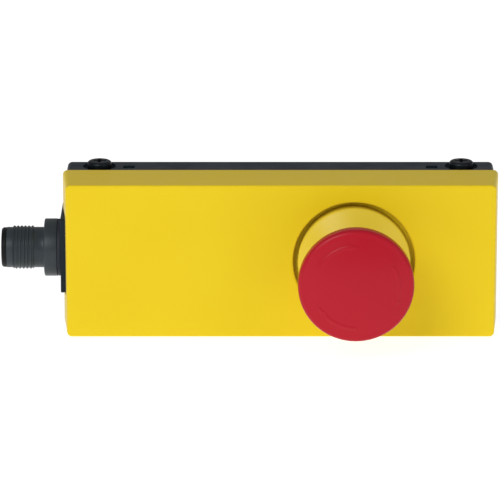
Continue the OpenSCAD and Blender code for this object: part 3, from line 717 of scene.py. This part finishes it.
def make_collar():
    """Yellow bezel and neck between the recess and the cap, with the mounting sleeve below them."""
    top, bezel, seat = collar_hi.z, FACE_W + 1.3, RECESS_W + 0.6
    cone_r, neck_r, mouth_r, guide_r, spring_r, stem_r = 10.6, 10, 8.2, 6.55, 8.7, 5.3
    guide_lo, guide_hi, ledge_w, groove_half = 37, 41.2, 19.8, 0.5
    profile = fillet([(stem_r, collar_lo.z), (SLEEVE_R, collar_lo.z, 0.2),
                      (SLEEVE_R, LATCH_W - groove_half), (LATCH_GROOVE_R, LATCH_W - groove_half),
                      (LATCH_GROOVE_R, LATCH_W + groove_half), (SLEEVE_R, LATCH_W + groove_half),
                      (SLEEVE_R, seat), (COLLAR_R, seat), (COLLAR_R, bezel, 0.9),
                      (cone_r, bezel + 2.9, 1.2), (neck_r, bezel + 3.6), (neck_r, top, 0.4),
                      (mouth_r, top, 0.2), (mouth_r, guide_hi), (guide_r, guide_hi),
                      (guide_r, guide_lo), (spring_r, guide_lo), (spring_r, ledge_w),
                      (stem_r, ledge_w)])
    collar = lathe("collar", profile, about_button, 128)
    key = soft_block_bm(BUTTON_X - 1.5, BUTTON_X + 1.5, 10.2, 11.9, RECESS_W - 1.9, RECESS_W, 0.1, 0.2)
    pin_hole = lathe_bm([(0, -12), (0.65, -12), (0.65, 12), (0, 12)], crosswise, 24, closed=False)
    combine(collar, [key], "UNION")
    dress(combine(collar, [pin_hole], "DIFFERENCE"), "collar_plastic", "housing", "head_collar")


def make_cap():
    """Red mushroom cap with a rounded rim, domed face and a hollow behind."""
    dome = [(r, dome_height(r)) for r in ((CAP_R - CAP_EDGE) * (1 - k / 16) for k in range(1, 16))]
    edge = [(CAP_R - CAP_EDGE * (1 - cos(a)), CAP_SHOULDER - CAP_EDGE * (1 - sin(a)))
            for a in (radians(90 * k / 8) for k in range(9))]
    hole_r, hub_r, groove_r, rim_r, clip_r = 4.06, 7, 11.2, 12.6, 5.1
    hollow_w, groove_w, clip_lo, clip_hi = 48.2, 49.3, 49.2, 50.9
    back = fillet([(hole_r, hollow_w), (hub_r, hollow_w), (hub_r, groove_w), (groove_r, groove_w),
                   (groove_r, hollow_w), (rim_r, hollow_w, 0.2), (rim_r, cap_lo.z, 0.3),
                   (CAP_R, cap_lo.z, 0.5), edge[0]])[:-1]
    inside = [(0, clip_hi), (clip_r, clip_hi), (clip_r, clip_lo), (hole_r, clip_lo)]
    cap = lathe("cap", inside + back + edge + dome + [(0, cap_hi.z)], about_button, 128, closed=False)
    dress(cap, "cap_plastic", "cap", "mushroom_cap")


def make_turn_arrow(index, start_deg, sweep_deg=62):
    """A low moulded arrow that follows the cap's rim clockwise, as the cap turns to release."""
    mid, half, height = 11.4, 0.65, 0.14
    head_deg, head_half, steps = 14, 1.3, 24
    bump = [(-1.0, -0.05), (-0.8, 0.25 * height), (-0.55, 0.85 * height), (-0.35, height),
            (0.35, height), (0.55, 0.85 * height), (0.8, 0.25 * height), (1.0, -0.05)]
    rows = []
    for k in range(steps + 1):
        rows.append((start_deg - (sweep_deg - head_deg) * k / steps, half))
    for k in range(9):
        rows.append((start_deg - sweep_deg + head_deg * (1 - k / 8), max(head_half * (1 - k / 8), 0.05)))
    bm = bmesh.new()
    strips = []
    for deg, width in rows:
        strips.append([bm.verts.new(about_button(mid + width * side, radians(deg),
                                                 dome_height(mid + width * side) + lift))
                       for side, lift in bump])
    count = len(bump)
    for a, b in zip(strips, strips[1:]):
        for k in range(count):
            j = (k + 1) % count
            bm.faces.new((a[k], a[j], b[j], b[k]))
    bm.faces.new(strips[0])
    bm.faces.new(list(reversed(strips[-1])))
    dress(finish_piece(bm, f"turn_arrow_{index}", 60), "cap_plastic", "cap")


def coil_mesh(name, mean_r, wire_r, w0, w1, turns, put_x, steps=36, sides=10):
    """Compression spring with closed ends, as a swept tube."""
    bm = bmesh.new()
    count = turns * steps
    rings = []
    for i in range(count + 1):
        a, f = tau * i / steps, i / count
        w = w0 + (w1 - w0) * (f - sin(tau * f) / 9)
        ring = []
        for k in range(sides):
            b = tau * k / sides
            r = mean_r + wire_r * cos(b)
            ring.append(bm.verts.new(place(put_x + r * cos(a), r * sin(a), w + wire_r * sin(b))))
        rings.append(ring)
    for a, b in zip(rings, rings[1:]):
        for k in range(sides):
            j = (k + 1) % sides
            bm.faces.new((a[k], a[j], b[j], b[k]))
    bm.faces.new(rings[0])
    bm.faces.new(list(reversed(rings[-1])))
    return finish_piece(bm, name)


def make_springs():
    """The three coil springs, each running between the ends of its CAD node."""
    lo, hi = span("return_spring")
    wire_r = 0.5
    spring = coil_mesh("button_spring", 7, wire_r, lo.z + wire_r, hi.z - wire_r, 6, BUTTON_X)
    dress(spring, "steel", "housing", "return_spring")
    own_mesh(spring)
    for side in ("left", "right"):
        node = "contact_spring_" + side
        lo, hi = span(node)
        wire_r = 0.2
        spring = coil_mesh("small_spring_" + side, 1.6, wire_r, lo.z + wire_r, hi.z - wire_r, 5,
                           (lo.x + hi.x) / 2)
        dress(spring, "steel", "housing", node)
        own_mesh(spring)


# ---------------------------------------------------------------------------------------
# CAD nodes that stay: soft edges and their material
# ---------------------------------------------------------------------------------------


def dress_frame_nodes():
    """Every CAD node that still shows gets crisp, slightly broken edges and its slot's material."""
    slots = {part["node"]: part["material_slot"] for part in frame["record"]["subparts"]}
    for name, node in frame["nodes"].items():
        if node.hide_render:
            continue
        node.data.materials.clear()
        node.data.materials.append(MATERIALS[slots[name]])
        weld = node.modifiers.new("weld", "WELD")
        weld.merge_threshold = 1e-6
        flat = node.modifiers.new("flat", "DECIMATE")
        flat.decimate_type = "DISSOLVE"
        flat.angle_limit = radians(0.5)
        bevel = node.modifiers.new("bevel", "BEVEL")
        bevel.width = 0.00012
        bevel.segments = 2
        bevel.limit_method = "ANGLE"
        bevel.angle_limit = radians(40)
        bevel.harden_normals = True
        node.data.polygons.foreach_set("use_smooth", [True] * len(node.data.polygons))
        node.data.set_sharp_from_angle(angle=radians(30))


make_camera()
make_stage()
make_cover()
make_base()
make_cover_screws()
make_plug()
make_collar()
make_cap()
for index in range(3):
    make_turn_arrow(index + 1, 150 - 120 * index)
make_springs()
dress_frame_nodes()
